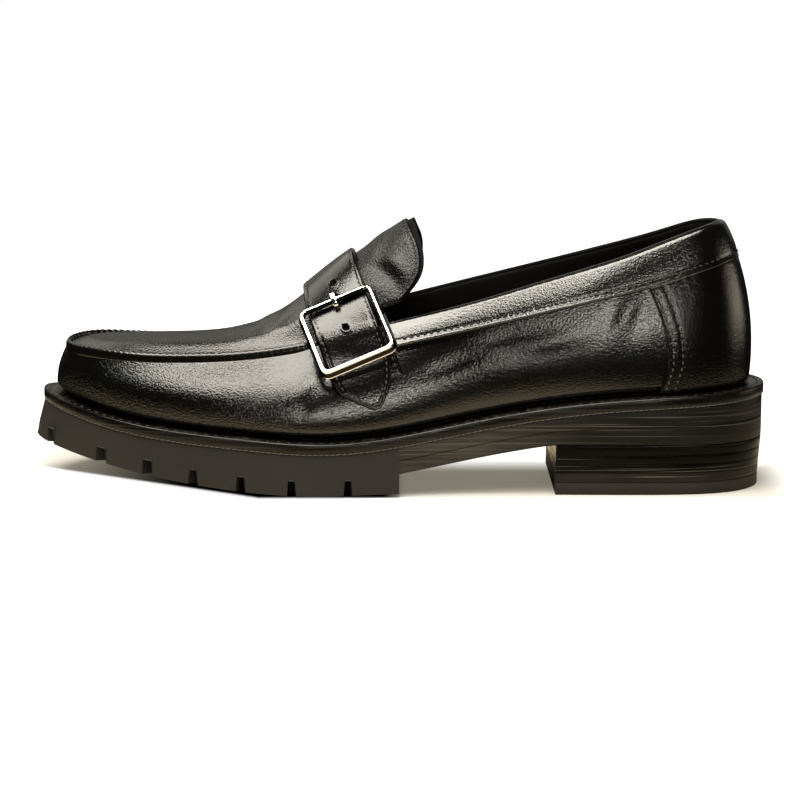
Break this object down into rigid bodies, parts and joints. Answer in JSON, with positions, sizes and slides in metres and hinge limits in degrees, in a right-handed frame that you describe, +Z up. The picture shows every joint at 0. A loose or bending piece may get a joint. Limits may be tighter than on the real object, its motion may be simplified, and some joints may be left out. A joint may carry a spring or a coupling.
{
  "type": "buckle-strap loafer",
  "caption": "Left leather loafer with a stitched apron toe, a buckled instep strap, a full welt, a lugged rubber forefoot and a stacked heel.",
  "frame": {"origin": "on the floor, under the centre of the bounding box", "axes": "toe at -X, heel at +X, outer side with the buckle at -Y, +Z up"},
  "size_m": [0.3, 0.1038, 0.108],
  "materials": {
    "black_leather": "semi-gloss, fine grain",
    "edge_leather": "waxed edge",
    "charcoal_rubber": "matte",
    "black_lining": "matte",
    "polished_steel": "polished"
  },
  "bodies": {
    "root": {"outsole_forefoot": "charcoal_rubber", "sole_leather": "edge_leather", "heel_lift_1": "edge_leather", "heel_lift_2": "edge_leather", "heel_lift_3": "edge_leather", "heel_lift_4": "edge_leather", "heel_top_lift": "charcoal_rubber", "welt": "edge_leather", "insole": "black_lining", "upper": "black_leather", "apron": "black_leather", "heel_counter": "black_leather", "collar_band": "black_leather", "tongue": "black_leather", "buckle_chape": "black_leather", "strap": "black_leather", "buckle_frame": "polished_steel", "buckle_prong": "polished_steel"}
  },
  "joints": []
}
